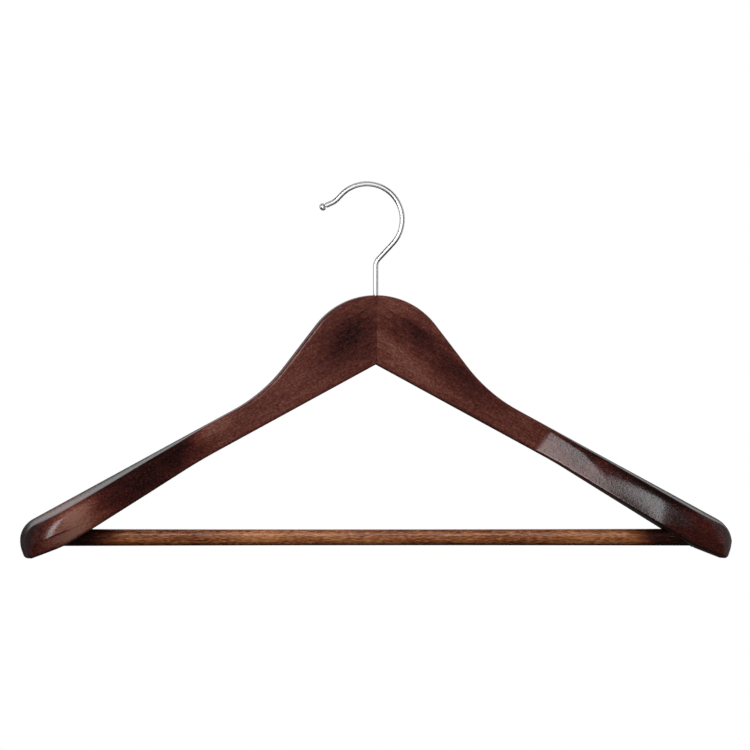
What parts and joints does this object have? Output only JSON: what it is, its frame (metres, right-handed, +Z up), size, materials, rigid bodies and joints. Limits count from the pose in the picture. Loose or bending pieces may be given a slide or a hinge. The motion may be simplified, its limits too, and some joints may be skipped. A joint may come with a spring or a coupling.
{
  "type": "clothes hanger",
  "caption": "Wooden suit hanger with broad shoulders that swell forwards, a fixed round trouser bar and a swivelling wire hook with a ball tip.",
  "frame": {"origin": "on the hook's swivel axis, at the inside of the hook, where the top of a rail carries the hanger", "axes": "+X along the span to the wearer's left shoulder, -Y to the front, +Z up along the hook's stem"},
  "size_m": [0.4412, 0.0466, 0.2336],
  "materials": {
    "lacquered_wood": "dark walnut stain with darker smoky patches under a glossy lacquer",
    "bar_wood": "golden brown stain, flecked, darker at both ends, under a glossy lacquer",
    "dowel_wood": "bare beech",
    "hook_chrome": "bright plated wire",
    "bush_brass": "turned",
    "steel": "plain bright steel"
  },
  "bodies": {
    "hook": {"hook_wire": "hook_chrome", "hook_ball_tip": "hook_chrome", "hook_stem_washer": "steel"},
    "hanger_body": {"right_arm": "lacquered_wood", "left_arm": "lacquered_wood", "right_front_shoulder_block": "lacquered_wood", "left_front_shoulder_block": "lacquered_wood", "right_rear_shoulder_block": "lacquered_wood", "left_rear_shoulder_block": "lacquered_wood", "trouser_bar": "bar_wood", "upper_joint_dowel": "dowel_wood", "lower_joint_dowel": "dowel_wood", "right_bar_brad": "steel", "left_bar_brad": "steel", "hook_bush": "bush_brass"}
  },
  "joints": [
    {"name": "hook_swivel", "type": "hinge", "parent": "hook", "child": "hanger_body", "pos_m": [0, 0, -0.0767], "axis": [0, 0, 1], "continuous": true}
  ]
}
